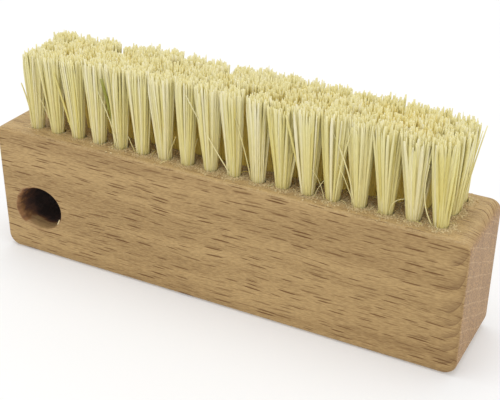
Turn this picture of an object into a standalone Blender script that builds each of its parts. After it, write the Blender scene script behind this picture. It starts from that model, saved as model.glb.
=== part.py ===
"""Wooden nail brush, modelled the way it is made.

A hardwood block stands on its flat bottom. A hanging bore goes through it from front to back
near the left end. Three rows of blind holes are drilled into its top, and each holds one tuft:
a bundle of plant fibre folded over a flat wire anchor and pressed in, whose free ends fan out
above the wood and are trimmed level.

Lengths are in metres, +Z is up. The origin is the middle of the block's bottom face, +X runs
along the block and the front faces -Y.
"""

import math
import random

import bmesh
import bpy
from mathutils import Matrix, Vector

MM = 0.001

# Block
BLOCK_LENGTH = 100.0 * MM
BLOCK_DEPTH = 19.0 * MM
BLOCK_HEIGHT = 27.5 * MM
BOTTOM_CORNER_RADIUS = 2.8 * MM
TOP_LEFT_CORNER_RADIUS = 1.3 * MM
TOP_RIGHT_CORNER_RADIUS = 2.2 * MM
ARRIS_RADIUS = 0.9 * MM
CORNER_STEPS = 5
ARRIS_STEPS = 3
ARRIS_MIN_ANGLE = math.radians(40)

# Hanging bore, with a softened lip on both faces
BORE_DIAMETER = 10.6 * MM
BORE_LIP_RADIUS = 0.8 * MM
BORE_FROM_LEFT_END = 9.4 * MM
BORE_ABOVE_BOTTOM = 10.7 * MM
BORE_SIDES = 32
BORE_LIP_STEPS = 3

# Grid of tufts, counted from the left end
ROW_NAMES = ("front", "middle", "back")
ROW_TO_FACE = 4.1 * MM
TUFTS_IN_ROW = 18
LEFT_END_TO_FIRST_TUFT = 7.6 * MM
LAST_TUFT_TO_RIGHT_END = 6.55 * MM

# Packed root of a tuft, and the hole drilled for it
ROOT_DIAMETER = 2.9 * MM
ROOT_ABOVE_WOOD = 0.8 * MM
ROOT_SIDES = 8
FOLD_HEIGHT = 1.2 * MM
FOLD_WIDTH_SHARE = 0.62
HOLE_CLEARANCE = 0.3 * MM
DRILL_POINT_ANGLE = math.radians(140)
WOOD_OVER_BORE = 1.8 * MM

# Flat wire anchor in the fold
ANCHOR_LENGTH = 2.5 * MM
ANCHOR_THICKNESS = 0.35 * MM
ANCHOR_HEIGHT = 1.2 * MM
ANCHOR_IN_FOLD = 0.25 * MM

# Free strands of a tuft, each a lock of fibres: one in the middle and a ring round it
BRISTLE_LENGTH = 18.0 * MM
STRAND_ROOT_WIDTH = 0.5 * MM
STRAND_TIP_WIDTH = 0.8 * MM
STRANDS_IN_RING = 7
STRAND_EMBED = 0.4 * MM
STRAND_RIM = 0.06 * MM
UNEVEN_TRIM_SHARE = 0.07
TUFT_TIP_GAP = 0.6 * MM
TIP_WANDER = 0.08 * MM
TUFT_LEAN = 0.1 * MM
END_LEAN = 1.2 * MM
LEANING_TUFTS = 3
STRAND_SEED = 11

CUT_OVERRUN = 1.0 * MM
SHARP_ANGLE = math.radians(35)

BEECH_COLOUR = (0.44, 0.30, 0.145)
BEECH_ROUGHNESS = 0.6
FIBRE_COLOUR = (0.68, 0.62, 0.30)
FIBRE_ROUGHNESS = 0.45

# Worked out from the sizes above
BORE_RADIUS = BORE_DIAMETER / 2
ROOT_RADIUS = ROOT_DIAMETER / 2
HOLE_RADIUS = ROOT_RADIUS + HOLE_CLEARANCE
BORE_CROWN = BORE_ABOVE_BOTTOM + BORE_RADIUS
HOLE_DEPTH = BLOCK_HEIGHT - BORE_CROWN - WOOD_OVER_BORE
SHOULDER_DEPTH = HOLE_DEPTH - HOLE_RADIUS / math.tan(DRILL_POINT_ANGLE / 2)
ROOT_DEPTH = SHOULDER_DEPTH - HOLE_CLEARANCE
TUFT_SPAN = BLOCK_LENGTH - LEFT_END_TO_FIRST_TUFT - LAST_TUFT_TO_RIGHT_END
TUFT_PITCH = TUFT_SPAN / (TUFTS_IN_ROW - 1)
ROW_PITCH = (BLOCK_DEPTH - 2 * ROW_TO_FACE) / (len(ROW_NAMES) - 1)
STRAND_ROOT_RADIUS = STRAND_ROOT_WIDTH / math.sqrt(2)
STRAND_TIP_RADIUS = STRAND_TIP_WIDTH / math.sqrt(2)
ROOT_RING_RADIUS = ROOT_RADIUS - STRAND_ROOT_RADIUS - STRAND_RIM
TIP_RING_RADIUS = (min(TUFT_PITCH, ROW_PITCH) - TUFT_TIP_GAP) / 2 - STRAND_TIP_RADIUS


def clear_scene():
    """Takes every object out of the scene."""
    for old in list(bpy.data.objects):
        bpy.data.objects.remove(old, do_unlink=True)


def new_material(name, colour, roughness):
    """A plain Principled material."""
    material = bpy.data.materials.new(name)
    material.use_nodes = True
    shader = material.node_tree.nodes["Principled BSDF"]
    shader.inputs["Base Color"].default_value = (*colour, 1.0)
    shader.inputs["Roughness"].default_value = roughness
    shader.inputs["Metallic"].default_value = 0.0
    return material


def ring(radius, sides, z, centre=(0.0, 0.0), turn=0.0):
    """Corners of a level regular polygon, counter-clockwise seen from above."""
    angles = [turn + math.tau * k / sides for k in range(sides)]
    x, y = centre
    return [Vector((x + radius * math.cos(a), y + radius * math.sin(a), z)) for a in angles]


def skin(bm, rings):
    """Skins rings of points, bottom to top, into a closed body; one point alone is a pole."""
    loops = [[bm.verts.new(point) for point in points] for points in rings]
    count = max(len(loop) for loop in loops)
    for lower, upper in zip(loops, loops[1:]):
        for k in range(count):
            after = (k + 1) % count
            if len(lower) == 1:
                bm.faces.new((lower[0], upper[after], upper[k]))
            else:
                bm.faces.new((lower[k], lower[after], upper[after], upper[k]))
    if len(loops[0]) > 1:
        bm.faces.new(reversed(loops[0]))
    bm.faces.new(loops[-1])


def new_object(name, bm):
    """Turns a bmesh into a named object of the scene."""
    mesh = bpy.data.meshes.new(name)
    bm.to_mesh(mesh)
    bm.free()
    made = bpy.data.objects.new(name, mesh)
    bpy.context.scene.collection.objects.link(made)
    return made


def combine(body, other, operation):
    """Joins the other object to the body, or cuts it away, and removes it."""
    boolean = body.modifiers.new(operation.title(), "BOOLEAN")
    boolean.operation = operation
    boolean.solver = "EXACT"
    boolean.object = other
    apply_modifiers(body)
    bpy.data.objects.remove(other, do_unlink=True)


def apply_modifiers(body):
    """Replaces the body's mesh by what its modifiers make of it."""
    graph = bpy.context.evaluated_depsgraph_get()
    made = bpy.data.meshes.new_from_object(body.evaluated_get(graph))
    plain = body.data
    body.modifiers.clear()
    body.data = made
    bpy.data.meshes.remove(plain)


def finish(body, material):
    """Gives the body its one material and smooth shading with sharp corners."""
    body.data.materials.clear()
    body.data.materials.append(material)
    body.data.shade_smooth()
    body.data.set_sharp_from_angle(angle=SHARP_ANGLE)


def block_outline():
    """The block seen from the front, as x and z, counter-clockwise from the bottom right."""
    half = BLOCK_LENGTH / 2
    corners = (
        (1, 0, BOTTOM_CORNER_RADIUS),
        (1, 1, TOP_RIGHT_CORNER_RADIUS),
        (-1, 1, TOP_LEFT_CORNER_RADIUS),
        (-1, 0, BOTTOM_CORNER_RADIUS),
    )
    points = []
    for turn, (side, top, radius) in enumerate(corners):
        centre_x = side * (half - radius)
        centre_z = BLOCK_HEIGHT - radius if top else radius
        for k in range(CORNER_STEPS + 1):
            angle = (turn - 1 + k / CORNER_STEPS) * math.pi / 2
            points.append((centre_x + radius * math.cos(angle), centre_z + radius * math.sin(angle)))
    return points


def blank():
    """The block before drilling: its outline drawn out to its depth, with the arrises rounded."""
    bm = bmesh.new()
    front = -BLOCK_DEPTH / 2
    face = bm.faces.new([bm.verts.new((x, front, z)) for x, z in block_outline()])
    drawn = bmesh.ops.extrude_face_region(bm, geom=[face])["geom"]
    moved = [item for item in drawn if isinstance(item, bmesh.types.BMVert)]
    bmesh.ops.translate(bm, verts=moved, vec=(0.0, BLOCK_DEPTH, 0.0))
    bmesh.ops.recalc_face_normals(bm, faces=bm.faces)
    body = new_object("block", bm)
    rounding = body.modifiers.new("Arris", "BEVEL")
    rounding.width = ARRIS_RADIUS
    rounding.segments = ARRIS_STEPS
    rounding.limit_method = "ANGLE"
    rounding.angle_limit = ARRIS_MIN_ANGLE
    apply_modifiers(body)
    return body


def bore_cutter():
    """What the hanging bore takes out: a rod that flares into a quarter round at both faces."""
    face = BLOCK_DEPTH / 2
    half = [(face + CUT_OVERRUN, BORE_RADIUS + BORE_LIP_RADIUS)]
    for k in range(BORE_LIP_STEPS + 1):
        angle = k / BORE_LIP_STEPS * math.pi / 2
        depth = BORE_LIP_RADIUS - BORE_LIP_RADIUS * math.cos(angle)
        flare = BORE_LIP_RADIUS - BORE_LIP_RADIUS * math.sin(angle)
        half.append((face - depth, BORE_RADIUS + flare))
    profile = [(-along, radius) for along, radius in half] + half[::-1]
    bm = bmesh.new()
    skin(bm, [ring(radius, BORE_SIDES, along) for along, radius in profile])
    centre = Vector((BORE_FROM_LEFT_END - BLOCK_LENGTH / 2, 0.0, BORE_ABOVE_BOTTOM))
    lay_along_y = Matrix.Rotation(math.pi / 2, 4, "X")
    bmesh.ops.transform(bm, matrix=Matrix.Translation(centre) @ lay_along_y, verts=bm.verts)
    return new_object("bore_cutter", bm)


def drill_cutter():
    """What the drill takes out for the tufts: one pointed blind hole for each."""
    bm = bmesh.new()
    for place in tuft_places():
        skin(
            bm,
            [
                [Vector((place.x, place.y, BLOCK_HEIGHT - HOLE_DEPTH))],
                ring(HOLE_RADIUS, ROOT_SIDES, BLOCK_HEIGHT - SHOULDER_DEPTH, place.xy),
                ring(HOLE_RADIUS, ROOT_SIDES, BLOCK_HEIGHT + CUT_OVERRUN, place.xy),
            ],
        )
    return new_object("drill_cutter", bm)


def tuft_places():
    """Hole mouths on the block's top, row by row from the front, each from the left."""
    first = LEFT_END_TO_FIRST_TUFT - BLOCK_LENGTH / 2
    middle_row = (len(ROW_NAMES) - 1) / 2
    places = []
    for row in range(len(ROW_NAMES)):
        for column in range(TUFTS_IN_ROW):
            y = (row - middle_row) * ROW_PITCH
            places.append(Vector((first + column * TUFT_PITCH, y, BLOCK_HEIGHT)))
    return places


def make_block(material):
    """The wooden block with its hanging bore and its blind holes."""
    block = blank()
    combine(block, bore_cutter(), "DIFFERENCE")
    combine(block, drill_cutter(), "DIFFERENCE")
    finish(block, material)
    return block


def end_lean(column):
    """How far the tips of the last tufts in a row lean out towards the right end."""
    past = column - (TUFTS_IN_ROW - 1 - LEANING_TUFTS)
    share = max(0.0, past / LEANING_TUFTS)
    return END_LEAN * share * share


def add_strand(bm, root, tip, turn, length):
    """One straight strand of square section from inside the packed root up to its cut tip."""
    start = (root - tip) * (STRAND_EMBED / length) + root
    skin(
        bm,
        [
            ring(STRAND_ROOT_RADIUS, 4, ROOT_ABOVE_WOOD - STRAND_EMBED, start, turn),
            ring(STRAND_TIP_RADIUS, 4, ROOT_ABOVE_WOOD + length, tip, turn),
        ],
    )


def strands_and_anchor(column, chance):
    """The fanned strands of one tuft and the wire anchor in its fold, as separate shells."""
    bm = bmesh.new()
    lean = Vector((end_lean(column), 0.0))
    lean += Vector((chance.uniform(-TUFT_LEAN, TUFT_LEAN), chance.uniform(-TUFT_LEAN, TUFT_LEAN)))
    first_turn = chance.uniform(0.0, math.tau)
    full_length = BRISTLE_LENGTH - ROOT_ABOVE_WOOD
    for k in range(STRANDS_IN_RING + 1):
        angle = first_turn + math.tau * k / STRANDS_IN_RING
        outward = Vector((math.cos(angle), math.sin(angle)))
        if k == STRANDS_IN_RING:
            outward = Vector((0.0, 0.0))
        wander = Vector((chance.uniform(-TIP_WANDER, TIP_WANDER), chance.uniform(-TIP_WANDER, TIP_WANDER)))
        tip = outward * TIP_RING_RADIUS + lean + wander
        length = full_length * (1 - UNEVEN_TRIM_SHARE * chance.random())
        add_strand(bm, outward * ROOT_RING_RADIUS, tip, angle + math.pi / 4, length)
    anchor = bmesh.ops.create_cube(bm, size=1.0)["verts"]
    middle = ANCHOR_IN_FOLD + ANCHOR_HEIGHT / 2 - ROOT_DEPTH
    bmesh.ops.scale(bm, vec=(ANCHOR_THICKNESS, ANCHOR_LENGTH, ANCHOR_HEIGHT), verts=anchor)
    bmesh.ops.translate(bm, vec=(0.0, 0.0, middle), verts=anchor)
    return new_object("strands", bm)


def make_tuft(name, place, column, chance, block, material):
    """One tuft: the packed root in its hole, with its strands and anchor joined on."""
    bm = bmesh.new()
    skin(
        bm,
        [
            ring(ROOT_RADIUS * FOLD_WIDTH_SHARE, ROOT_SIDES, -ROOT_DEPTH),
            ring(ROOT_RADIUS, ROOT_SIDES, FOLD_HEIGHT - ROOT_DEPTH),
            ring(ROOT_RADIUS, ROOT_SIDES, ROOT_ABOVE_WOOD),
        ],
    )
    tuft = new_object(name, bm)
    combine(tuft, strands_and_anchor(column, chance), "UNION")
    finish(tuft, material)
    tuft.location = place
    tuft.parent = block
    return tuft


def main():
    """Builds the block and its tufts."""
    clear_scene()
    beech = new_material("beech", BEECH_COLOUR, BEECH_ROUGHNESS)
    fibre = new_material("fibre", FIBRE_COLOUR, FIBRE_ROUGHNESS)
    block = make_block(beech)
    chance = random.Random(STRAND_SEED)
    for index, place in enumerate(tuft_places()):
        row, column = divmod(index, TUFTS_IN_ROW)
        name = f"tuft_{ROW_NAMES[row]}_{column + 1:02d}"
        make_tuft(name, place, column, chance, block, fibre)


main()
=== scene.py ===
# %% [markdown]
# A wooden nail brush. A block of bare beech stands on its flat bottom, a hanging bore goes
# through it near one end, and three rows of pale plant fibre tufts stand in its top.
#
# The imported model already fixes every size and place. This script gives each piece its
# visible surface and its finish. The first cell loads that model and keeps its box, which
# the finished brush must stay inside.

# %% Load the model and its box
import math

import bmesh
import bpy
import numpy as np
from mathutils import Matrix, Vector


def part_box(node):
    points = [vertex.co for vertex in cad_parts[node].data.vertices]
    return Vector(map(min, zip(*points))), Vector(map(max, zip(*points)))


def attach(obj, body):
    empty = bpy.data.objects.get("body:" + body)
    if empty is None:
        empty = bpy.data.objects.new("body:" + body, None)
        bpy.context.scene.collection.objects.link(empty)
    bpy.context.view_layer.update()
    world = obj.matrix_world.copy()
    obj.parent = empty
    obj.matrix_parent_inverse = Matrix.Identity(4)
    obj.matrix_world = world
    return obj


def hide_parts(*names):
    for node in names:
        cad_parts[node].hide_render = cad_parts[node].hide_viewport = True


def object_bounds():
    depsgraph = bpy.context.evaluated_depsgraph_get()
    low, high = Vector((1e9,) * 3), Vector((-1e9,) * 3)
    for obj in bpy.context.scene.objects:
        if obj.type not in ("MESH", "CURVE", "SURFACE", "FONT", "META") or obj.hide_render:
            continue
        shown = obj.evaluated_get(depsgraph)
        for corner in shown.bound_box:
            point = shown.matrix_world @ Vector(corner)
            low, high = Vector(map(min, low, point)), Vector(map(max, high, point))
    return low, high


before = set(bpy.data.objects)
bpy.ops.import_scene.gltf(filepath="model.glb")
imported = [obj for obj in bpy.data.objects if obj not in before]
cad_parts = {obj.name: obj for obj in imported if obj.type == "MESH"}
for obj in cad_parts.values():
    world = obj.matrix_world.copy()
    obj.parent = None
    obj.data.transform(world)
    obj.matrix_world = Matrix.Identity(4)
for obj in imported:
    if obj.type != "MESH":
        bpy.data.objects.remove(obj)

cad_low, cad_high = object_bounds()
print("model box, mm:", [round(1000 * side, 2) for side in cad_high - cad_low])

# %% [markdown]
# Every size below is in metres, written as a number of millimetres times MM. The block and
# the tufts are measured on the model itself. A tuft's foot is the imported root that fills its
# drilled hole. The box round those of its points that lie inside the wood gives the axis of
# the hole and its floor, and the top of the wood is where the fibres come into the open.

# %% Measure the block and the feet of the tufts
MM = 0.001
ROWS = ("front", "middle", "back")
TUFTS_IN_ROW = 18
SURELY_INSIDE = 1.0 * MM

block_low, block_high = (np.array(corner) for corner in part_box("block"))
LENGTH, DEPTH, HEIGHT = block_high - block_low


def tuft_name(row, number):
    """The name of a tuft: its row, and its number counted from the left end."""
    return f"tuft_{row}_{number:02d}"


def tuft_foot(name):
    """The axis of one tuft's root, as x and y, and the height of the hole's floor."""
    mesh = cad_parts[name].data
    points = np.empty(3 * len(mesh.vertices))
    mesh.vertices.foreach_get("co", points)
    buried = points.reshape(-1, 3)
    buried = buried[buried[:, 2] < HEIGHT - SURELY_INSIDE]
    middle = (buried.min(axis=0) + buried.max(axis=0)) / 2
    return middle[0], middle[1], buried[:, 2].min()


feet = {
    tuft_name(row, number): tuft_foot(tuft_name(row, number))
    for row in ROWS for number in range(1, TUFTS_IN_ROW + 1)
}
first_x, first_y, hole_floor = feet[tuft_name("front", 1)]
last_x = feet[tuft_name("front", TUFTS_IN_ROW)][0]
PITCH = (last_x - first_x) / (TUFTS_IN_ROW - 1)
ROW_PITCH = feet[tuft_name("middle", 1)][1] - first_y
print(f"block {LENGTH / MM:.1f} x {DEPTH / MM:.1f} x {HEIGHT / MM:.1f} mm")
print(f"{len(feet)} tufts, {PITCH / MM:.2f} mm apart in rows {ROW_PITCH / MM:.2f} mm apart")

# %% [markdown]
# The camera stands to the right of the brush and looks down on it. Its place and its three
# angles repeat the photographed view, and the focal length fits a sensor 36 mm wide. A
# camera looks along its own -Z, so the turn is built from three directions: where it looks,
# its right-hand side and its top, rolled a little about the view axis.

# %% Camera
CAMERA_PLACE = Vector((87.59, -165.13, 117.86)) * MM
CAMERA_AZIMUTH = math.radians(26.98)
CAMERA_ELEVATION = math.radians(27.91)
CAMERA_ROLL = math.radians(0.94)
SENSOR_WIDTH_IN_MM = 36
FOCAL_LENGTH_IN_SENSOR_MM = 77.594
NEAREST_SEEN = 5 * MM


def camera_turn(azimuth, elevation, roll):
    """Rotation whose columns are the camera's right side, its top and its back."""
    ahead = Vector((
        -math.sin(azimuth) * math.cos(elevation),
        math.cos(azimuth) * math.cos(elevation),
        -math.sin(elevation),
    ))
    level = Vector((math.cos(azimuth), math.sin(azimuth), 0))
    upward = level.cross(ahead)
    right = level * math.cos(roll) + upward * math.sin(roll)
    top = upward * math.cos(roll) - level * math.sin(roll)
    return Matrix((right, top, -ahead)).transposed()


camera_data = bpy.data.cameras.new("camera")
camera_data.sensor_width = SENSOR_WIDTH_IN_MM
camera_data.lens = FOCAL_LENGTH_IN_SENSOR_MM
camera_data.clip_start = NEAREST_SEEN
camera = bpy.data.objects.new("camera", camera_data)
camera.matrix_world = (
    Matrix.Translation(CAMERA_PLACE)
    @ camera_turn(CAMERA_AZIMUTH, CAMERA_ELEVATION, CAMERA_ROLL).to_4x4()
)
bpy.context.collection.objects.link(camera)
bpy.context.scene.camera = camera
print("camera", round(CAMERA_PLACE.length / MM), "mm from the brush's foot")

# %% [markdown]
# A finish is a short graph of shader nodes. Writing each node with its inputs in one call
# keeps such a graph readable: an input is either a plain value or the output of another
# node. The helpers below are all that the finishes need.

# %% Helpers for finishes
def add(tree, kind, inputs=None, **settings):
    """A new shader node. An input that is a socket is linked, any other is a value."""
    new = tree.nodes.new("ShaderNode" + kind)
    for name, value in settings.items():
        setattr(new, name, value)
    for name, value in (inputs or {}).items():
        socket = new.inputs[name]
        if isinstance(value, bpy.types.NodeSocket):
            tree.links.new(value, socket)
        else:
            socket.default_value = value
    return new


def new_finish(name, **values):
    """An empty material with a Principled shader whose sockets have the given values."""
    material = bpy.data.materials.new(name)
    material.use_nodes = True
    tree = material.node_tree
    shader = tree.nodes["Principled BSDF"]
    for socket, value in values.items():
        shader.inputs[socket.replace("_", " ").title().replace("Ior", "IOR")].default_value = value
    return material, tree, shader


def attribute(tree, name, output="Fac"):
    """What a mesh stores at its points under that name."""
    return add(tree, "Attribute", attribute_name=name).outputs[output]


def math_node(tree, operation, *values, clamp=False):
    """One sum on plain numbers, kept between 0 and 1 if asked."""
    inputs = dict(enumerate(values))
    return add(tree, "Math", inputs, operation=operation, use_clamp=clamp).outputs[0]


def remap(tree, value, low, high, to_low=0.0, to_high=1.0):
    """A smooth step of the value from low to high, stretched to another range."""
    inputs = {"Value": value, "From Min": low, "From Max": high,
              "To Min": to_low, "To Max": to_high}
    return add(tree, "MapRange", inputs, interpolation_type="SMOOTHSTEP").outputs[0]


def mix_colour(tree, share, below, above, blend="MIX"):
    """Two colours laid over each other. The share says how much of the upper one shows."""
    new = add(tree, "Mix", data_type="RGBA", blend_type=blend)
    for index, value in ((0, share), (6, below), (7, above)):
        if isinstance(value, bpy.types.NodeSocket):
            tree.links.new(value, new.inputs[index])
        else:
            new.inputs[index].default_value = (*value, 1) if index else value
    return new.outputs[2]


def stretched(tree, place, size, turn=0.0, shift=(0.0, 0.0)):
    """The place, measured in cells of the given width and height that lie turned."""
    inputs = {"Vector": place, "Rotation": (0, 0, turn), "Location": (*shift, 0),
              "Scale": (*size, 1)}
    return add(tree, "Mapping", inputs, vector_type="TEXTURE").outputs[0]


def noise(tree, place, detail=2.0, roughness=0.5):
    """Soft noise in the plane, from 0 to 1."""
    inputs = {"Vector": place, "Scale": 1.0, "Detail": detail, "Roughness": roughness}
    return add(tree, "TexNoise", inputs, noise_dimensions="2D").outputs[0]


def noise_in_space(tree, place, grains, detail=2.0):
    """Soft noise in space, from 0 to 1, with that many grains to the metre on each axis."""
    scaled = add(tree, "Mapping", {"Vector": place, "Scale": grains}).outputs[0]
    return add(tree, "TexNoise", {"Vector": scaled, "Scale": 1.0, "Detail": detail}).outputs[0]


def tone_ramp(tree, value, steps):
    """The colour that a row of steps and colours gives to the value, blended between steps."""
    ramp = add(tree, "ValToRGB", {"Fac": value})
    ramp.color_ramp.elements.remove(ramp.color_ramp.elements[1])
    for step, colour in steps:
        at = ramp.color_ramp.elements[0] if step == 0 else ramp.color_ramp.elements.new(step)
        at.color = (*colour, 1)
    return ramp.outputs["Color"]


def brightened(tree, colour, factor):
    """The colour times the factor."""
    return add(tree, "VectorMath", {0: colour, 3: factor}, operation="SCALE").outputs[0]


# %% [markdown]
# Product photographs of this kind are lit almost without shadows. Most of the light here
# comes from a white sky, and from a pale floor that glows a little, as a light table does.
# A large lamp overhead makes the cut ends of the fibres the brightest part. Two weak ones in
# front and at the front left make the left sides of the tufts slightly brighter, and one from
# the right keeps the end of the block from going dark. The standard view transform keeps
# pale colours pale. Each lamp has a name, a place, the length of its sides in metres and a
# power in watts.

# %% Floor, sky and lamps
WHITE = (1, 1, 1, 1)
FLOOR_SIZE = 6.0
FLOOR_GREY = (0.7, 0.7, 0.7, 1)
FLOOR_GLOW = 0.20
SKY_STRENGTH = 0.80
LAMPS = (
    ("overhead_lamp", (-0.05, 0.02, 0.80), 0.60, 2.5),
    ("front_lamp", (-0.22, -0.60, 0.42), 0.50, 0.2),
    ("front_left_lamp", (-0.42, -0.52, 0.45), 0.45, 0.15),
    ("right_lamp", (0.60, -0.16, 0.30), 0.50, 0.5),
)


def make_floor():
    """A square sheet far larger than the view, level with the block's bottom."""
    half = FLOOR_SIZE / 2
    mesh = bpy.data.meshes.new("floor")
    corners = [(-half, -half, 0), (half, -half, 0), (half, half, 0), (-half, half, 0)]
    mesh.from_pydata(corners, [], [(0, 1, 2, 3)])
    material, tree, shader = new_finish("pale_floor", base_color=FLOOR_GREY, roughness=0.9)
    shader.inputs["Emission Color"].default_value = WHITE
    shader.inputs["Emission Strength"].default_value = FLOOR_GLOW
    mesh.materials.append(material)
    floor = bpy.data.objects.new("floor", mesh)
    bpy.context.collection.objects.link(floor)


def make_lamp(name, place, size, power):
    """A square soft lamp that faces the middle of the brush."""
    data = bpy.data.lights.new(name, "AREA")
    data.size = size
    data.energy = power
    lamp = bpy.data.objects.new(name, data)
    lamp.location = place
    aim = Vector((0, 0, HEIGHT)) - lamp.location
    lamp.rotation_euler = aim.to_track_quat("-Z", "Y").to_euler()
    bpy.context.collection.objects.link(lamp)


make_floor()
for lamp in LAMPS:
    make_lamp(*lamp)
world = bpy.data.worlds.new("white_sky")
world.use_nodes = True
world.node_tree.nodes["Background"].inputs["Color"].default_value = WHITE
world.node_tree.nodes["Background"].inputs["Strength"].default_value = SKY_STRENGTH
bpy.context.scene.world = world
bpy.context.scene.view_settings.view_transform = "Standard"
print(len(LAMPS), "lamps, sky", SKY_STRENGTH, "floor glow", FLOOR_GLOW)

# %% [markdown]
# All new surfaces are grids of points. A grid of rows and columns has one quad between each
# two rows and two columns, and a ring closes the last column onto the first. Whole surfaces
# made of several grids meet in equal points, so that welding the doubles closes their seams.

# %% Helpers for surfaces
WELD_DISTANCE = 0.002 * MM


def grid_quads(rows, columns, ring=False):
    """Quads between neighbouring rows and columns of points that are numbered row by row."""
    row = np.arange(rows - 1)[:, None]
    column = np.arange(columns if ring else columns - 1)[None, :]
    after = (column + 1) % columns
    corners = (row * columns + column, row * columns + after,
               (row + 1) * columns + after, (row + 1) * columns + column)
    return np.stack(corners, axis=-1)


def join(surfaces):
    """Several (points, quads) surfaces as one, each one's quads counted on from the last."""
    points = [np.reshape(p, (-1, 3)) for p, _ in surfaces]
    starts = np.cumsum([0] + [len(p) for p in points[:-1]])
    quads = [np.reshape(q, (-1, 4)) + start for (_, q), start in zip(surfaces, starts)]
    return np.concatenate(points), np.concatenate(quads)


def mesh_of(name, points, quads, weld=False):
    """A smooth-shaded mesh of these points and quads, welded into a closed skin if asked."""
    mesh = bpy.data.meshes.new(name)
    mesh.from_pydata(points.tolist(), [], quads.tolist())
    if weld:
        skin = bmesh.new()
        skin.from_mesh(mesh)
        bmesh.ops.remove_doubles(skin, verts=skin.verts, dist=WELD_DISTANCE)
        bmesh.ops.recalc_face_normals(skin, faces=skin.faces)
        skin.to_mesh(mesh)
        skin.free()
    mesh.shade_smooth()
    return mesh


def store(mesh, name, values, kind="FLOAT"):
    """Keeps one value for each point of the mesh, for its finish to read."""
    layer = mesh.attributes.new(name, kind, "POINT")
    layer.data.foreach_set("vector" if kind == "FLOAT_VECTOR" else "value", values.ravel())


def place_piece(name, mesh, material):
    """Puts a finished mesh in the scene as a piece of the brush."""
    mesh.materials.append(material)
    piece = bpy.data.objects.new(name, mesh)
    bpy.context.collection.objects.link(piece)
    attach(piece, "root")
    return piece


def smooth_step(value, low, high):
    """0 below low, 1 above high, and 3t^2 - 2t^3 between them."""
    t = np.clip((value - low) / (high - low), 0, 1)
    return t * t * (3 - 2 * t)


print("a tube of 3 rings with 6 points each has", grid_quads(3, 6, ring=True).size // 4, "quads")

# %% [markdown]
# Beech is pale brown, with many short dark flecks along the grain, where its broad rays are
# cut across. They are spindles up to a third of a millimetre thick and four long. The cells
# of a Voronoi pattern, stretched along the grain and laid like bricks, give one spindle each,
# of its own width and darkness. Below them lie fainter, finer flecks, hair-fine fibre lines
# and long soft bands, and the lower right of the front is a little darker.
#
# The pattern isn't read from the place in space but from the unrolled skin of the block:
# the distance along the grain, and the distance round the section. So a fleck runs over a
# rounded edge without a break. The size of a cell is in millimetres on that skin, along the
# grain and across it, and the reach of a spindle is its half width as a share of the cell.

# %% Planed faces of the beech
GRAIN_SLOPE = math.radians(1.5)
GRAIN_WANDER = 1.3
WANDER_CELL = (24, 8)
BAND_CELL = (55, 3.2)
THREAD_CELL = (7, 0.16)
RIPPLE_CELL = (1.1, 0.23)
RIPPLE_TURN = 0.08
BOLD_FLECKS = {"cell": (9.0, 0.72), "reach": 0.23, "seed": 3.7}
FAINT_FLECKS = {"cell": (7.0, 0.42), "reach": 0.24, "seed": 9.1}
BOLD_DARKNESS = 0.92
FAINT_DARKNESS = 0.50
PALEST_FLECK = 0.4
THINNEST_FLECK = 0.5
FLECK_SOFTNESS = (0.04, -0.06)
BRICK_SHIFT = 0.38
FLECK_DISORDER = 0.88
BAND_TONE = 0.45
THREAD_TONE = 0.2
RIPPLE_TONE = 0.38
LOW_RIGHT_TONE = 0.3
LOW_RIGHT_ALONG = (0.0, 50.0)
LOW_RIGHT_ROUND = (22.0, 4.0)
BEECH_LIGHT = (0.550, 0.370, 0.162)
BEECH_DARK = (0.330, 0.204, 0.080)
FLECK_BROWN = (0.150, 0.064, 0.016)


def flecks(tree, place, cell, reach, seed):
    """Spindles in stretched Voronoi cells: up to 1 on the axis of a spindle, 0 outside it.

    Each row of cells is moved along by a share of a cell's length against the row below, as
    bricks are laid, so that no spindles stand straight above each other. Two of the random
    numbers that each cell has give its spindle a darkness and a width.
    """
    axes = add(tree, "SeparateXYZ", {"Vector": place}).outputs
    moved = math_node(tree, "MULTIPLY_ADD", axes["Y"], BRICK_SHIFT * cell[0] / cell[1], axes["X"])
    bricks = add(tree, "CombineXYZ", {"X": moved, "Y": axes["Y"]}).outputs[0]
    cells = stretched(tree, bricks, cell, shift=(seed, seed / 3))
    inputs = {"Vector": cells, "Scale": 1.0, "Randomness": FLECK_DISORDER}
    pattern = add(tree, "TexVoronoi", inputs, voronoi_dimensions="2D")
    chance = add(tree, "SeparateColor", {"Color": pattern.outputs["Color"]}).outputs
    darkness = remap(tree, chance[1], 0.0, 1.0, PALEST_FLECK, 1.0)
    width = remap(tree, chance[2], 0.0, 1.0, THINNEST_FLECK * reach, reach)
    outside = math_node(tree, "SUBTRACT", pattern.outputs["Distance"], width)
    body = remap(tree, outside, *FLECK_SOFTNESS)
    return math_node(tree, "MULTIPLY", body, darkness)


def wandering_grain(tree):
    """The unrolled place in millimetres, where the lines climb a little and wave up and down."""
    place = attribute(tree, "grain", "Vector")
    turned = stretched(tree, place, (1, 1), turn=GRAIN_SLOPE)
    wave = noise(tree, stretched(tree, turned, WANDER_CELL), detail=1.0)
    lift = math_node(tree, "MULTIPLY", math_node(tree, "SUBTRACT", wave, 0.5), GRAIN_WANDER)
    offset = add(tree, "CombineXYZ", {"Y": lift}).outputs[0]
    return add(tree, "VectorMath", {0: turned, 1: offset}, operation="ADD").outputs[0]


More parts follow.
